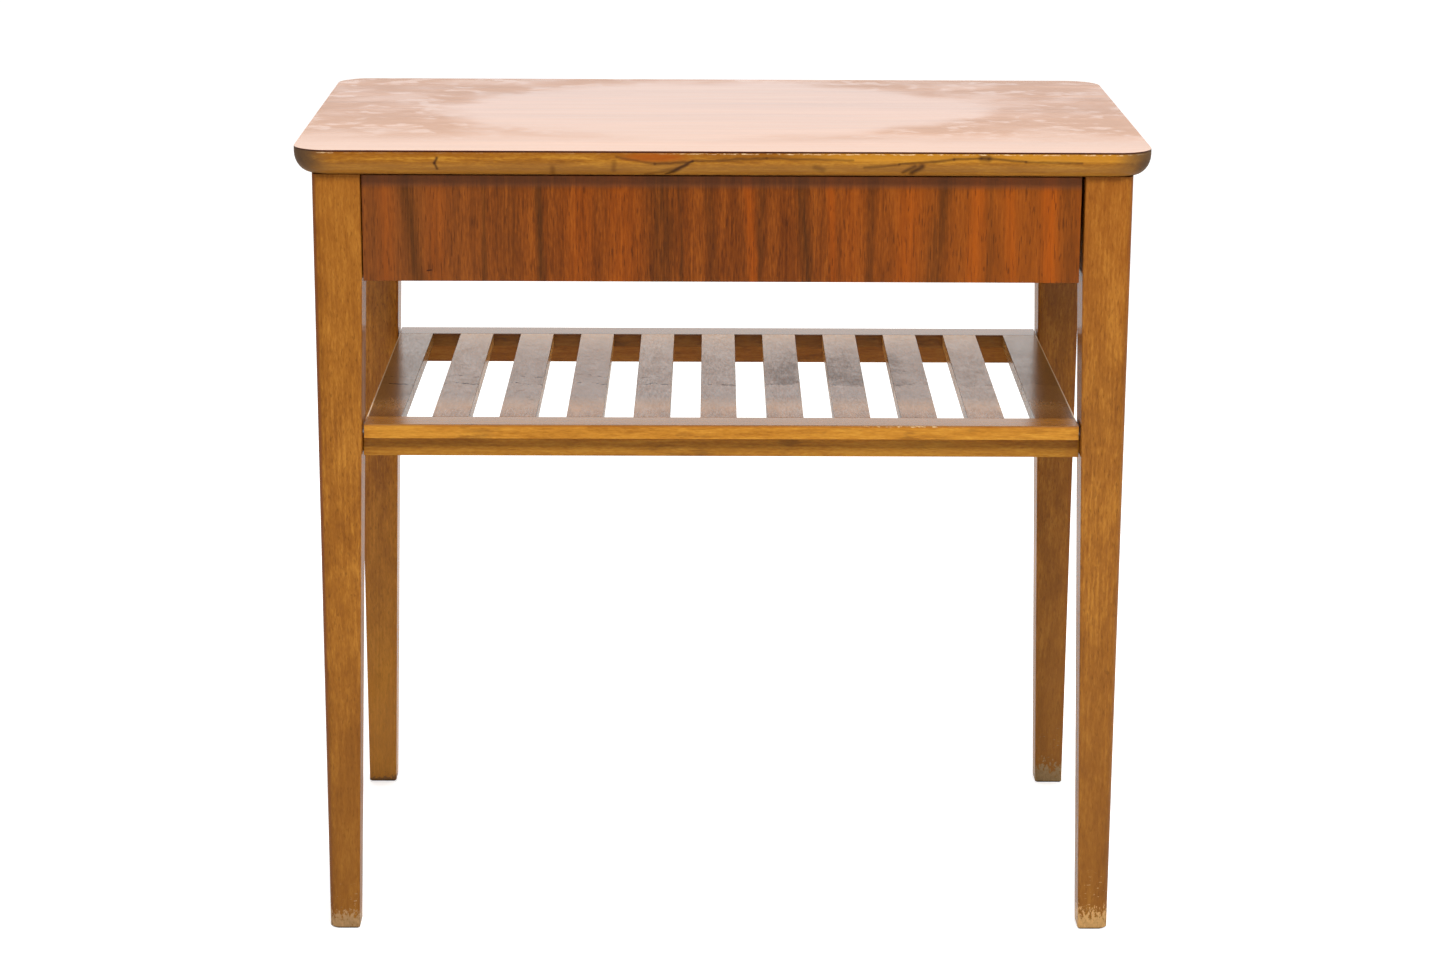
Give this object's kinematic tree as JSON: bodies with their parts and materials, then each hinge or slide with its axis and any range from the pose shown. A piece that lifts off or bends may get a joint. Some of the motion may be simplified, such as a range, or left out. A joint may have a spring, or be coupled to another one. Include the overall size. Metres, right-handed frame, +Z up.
{
  "type": "side table with drawer",
  "caption": "Small rectangular wooden side table on tapered legs, with a full-width handleless drawer under the top and a slatted magazine shelf below.",
  "frame": {"origin": "on the floor, at the centre of the table's footprint", "axes": "+X to the right along the long side, +Y to the back (the drawer opens towards -Y), +Z up"},
  "size_m": [0.6, 0.36, 0.58],
  "materials": {
    "top_veneer": "glossy varnished reddish brown veneer, worn and hazed in places",
    "edge_lipping": "satin varnished golden brown solid wood",
    "stained_beech": "satin varnished beech, stained golden brown, scratched at the feet",
    "shelf_wood": "glossy varnished beech, stained brown",
    "drawer_veneer": "satin varnished walnut veneer, grain upright",
    "drawer_wood": "plain waxed hardwood",
    "raw_softwood": "planed, unfinished",
    "plywood": "thin birch plywood, unfinished",
    "screw_steel": "dull, slightly tarnished slotted screws"
  },
  "bodies": {
    "table": {"leg_front_left": "stained_beech", "leg_front_right": "stained_beech", "leg_rear_left": "stained_beech", "leg_rear_right": "stained_beech", "apron_left": "stained_beech", "apron_right": "stained_beech", "apron_back": "stained_beech", "lipping_front": "edge_lipping", "lipping_rear": "edge_lipping", "lipping_left": "edge_lipping", "lipping_right": "edge_lipping", "top_veneer": "top_veneer", "top_core": "raw_softwood", "top_backing_veneer": "raw_softwood", "front_top_rail": "raw_softwood", "glue_block_left": "raw_softwood", "glue_block_right": "raw_softwood", "glue_block_back_left": "raw_softwood", "glue_block_back_right": "raw_softwood", "drawer_runner_left": "raw_softwood", "drawer_runner_right": "raw_softwood", "drawer_stop_left": "raw_softwood", "drawer_stop_right": "raw_softwood", "shelf_slat_1": "shelf_wood", "shelf_slat_2": "shelf_wood", "shelf_slat_3": "shelf_wood", "shelf_slat_4": "shelf_wood", "shelf_slat_5": "shelf_wood", "shelf_slat_6": "shelf_wood", "shelf_slat_7": "shelf_wood", "shelf_slat_8": "shelf_wood", "shelf_slat_9": "shelf_wood", "shelf_end_left": "shelf_wood", "shelf_end_right": "shelf_wood", "shelf_rail_front": "shelf_wood", "shelf_rail_rear": "shelf_wood", "stretcher_front": "shelf_wood", "stretcher_rear": "shelf_wood", "top_screw_block_left": "screw_steel", "top_screw_block_right": "screw_steel", "top_screw_block_back_left": "screw_steel", "top_screw_block_back_right": "screw_steel", "top_screw_rail_left": "screw_steel", "top_screw_rail_right": "screw_steel", "runner_screw_left_front": "screw_steel", "runner_screw_left_rear": "screw_steel", "runner_screw_right_front": "screw_steel", "runner_screw_right_rear": "screw_steel", "shelf_screw_front_left": "screw_steel", "shelf_screw_front_right": "screw_steel", "shelf_screw_rear_left": "screw_steel", "shelf_screw_rear_right": "screw_steel"},
    "drawer": {"drawer_front": "drawer_wood", "drawer_face_veneer": "drawer_veneer", "drawer_side_left": "drawer_wood", "drawer_side_right": "drawer_wood", "drawer_back": "drawer_wood", "drawer_bottom": "plywood"}
  },
  "joints": [
    {"name": "drawer_slide", "type": "slide", "parent": "table", "child": "drawer", "axis": [0, -1, 0], "range_m": [0, 0.21]}
  ]
}
